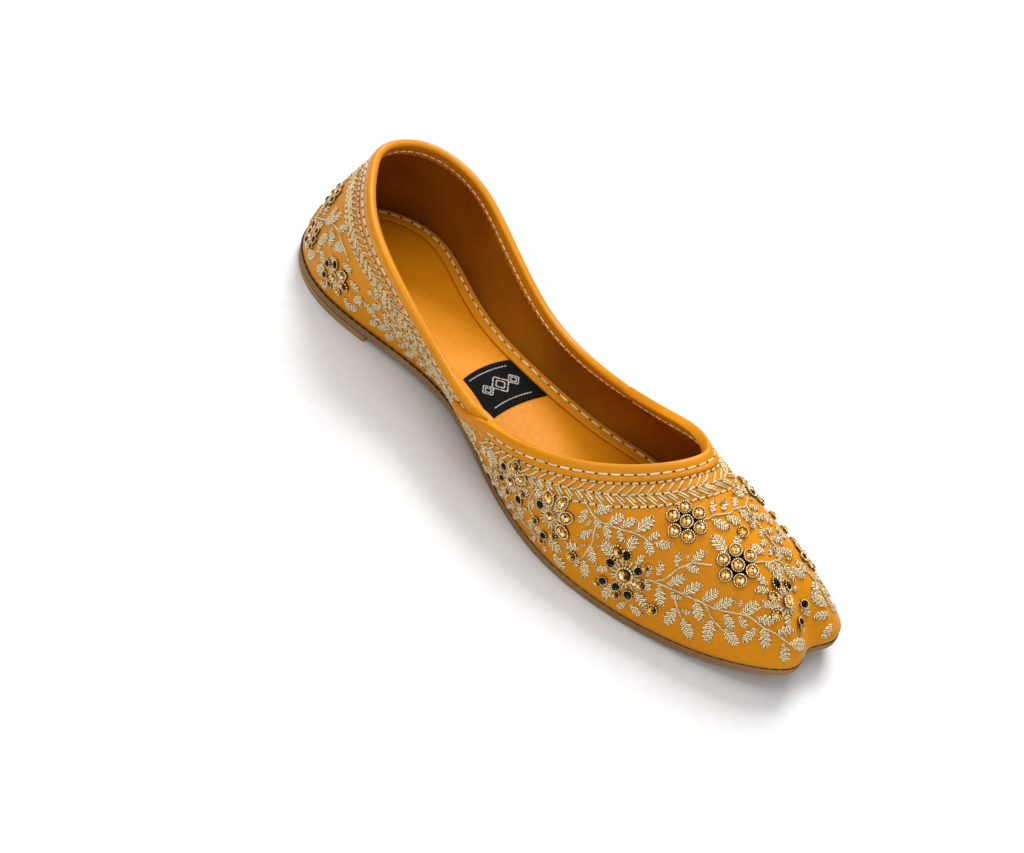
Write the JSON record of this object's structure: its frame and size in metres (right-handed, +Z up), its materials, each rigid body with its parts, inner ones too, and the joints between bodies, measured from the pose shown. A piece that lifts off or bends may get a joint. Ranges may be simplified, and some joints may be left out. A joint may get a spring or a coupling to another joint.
{
  "type": "embroidered slip-on flat shoe",
  "caption": "Flat slip-on shoe with a low collar, folded top binding, side seams, cleft toe, thin layered sole, low heel lift and sewn-on stone flowers.",
  "frame": {"origin": "The middle of the whole shoe's bounding box in X and Y, on the floor at Z = 0.", "axes": "+Z is up, the toe points along -Y, and the outer side of this right shoe is at -X."},
  "size_m": [0.078, 0.252, 0.0536],
  "materials": {
    "mustard_leather": "smooth satin leather",
    "insole_leather": "smooth leather",
    "sole_leather": "layered leather edge, matte",
    "heel_stack": "layered leather edge, matte",
    "woven_label": "fine woven cloth",
    "stone_gold": "gold wire and faceted stones"
  },
  "bodies": {
    "root": {"outsole": "sole_leather", "heel_lift": "heel_stack", "upper": "mustard_leather", "vamp_binding": "mustard_leather", "quarter_binding": "mustard_leather", "insole": "insole_leather", "insole_border": "mustard_leather", "label_patch": "woven_label", "crystal_flower_rear": "stone_gold", "crystal_flower_front": "stone_gold", "stone_flower_side": "stone_gold", "stone_flower_toe": "stone_gold", "stone_flower_joint": "stone_gold", "stone_flower_seam": "stone_gold", "stone_flower_inner_front": "stone_gold", "stone_flower_inner_rear": "stone_gold", "stone_flower_heel_outer": "stone_gold", "stone_flower_counter_outer": "stone_gold", "stone_flower_back": "stone_gold", "stone_flower_heel_inner": "stone_gold"}
  },
  "joints": []
}
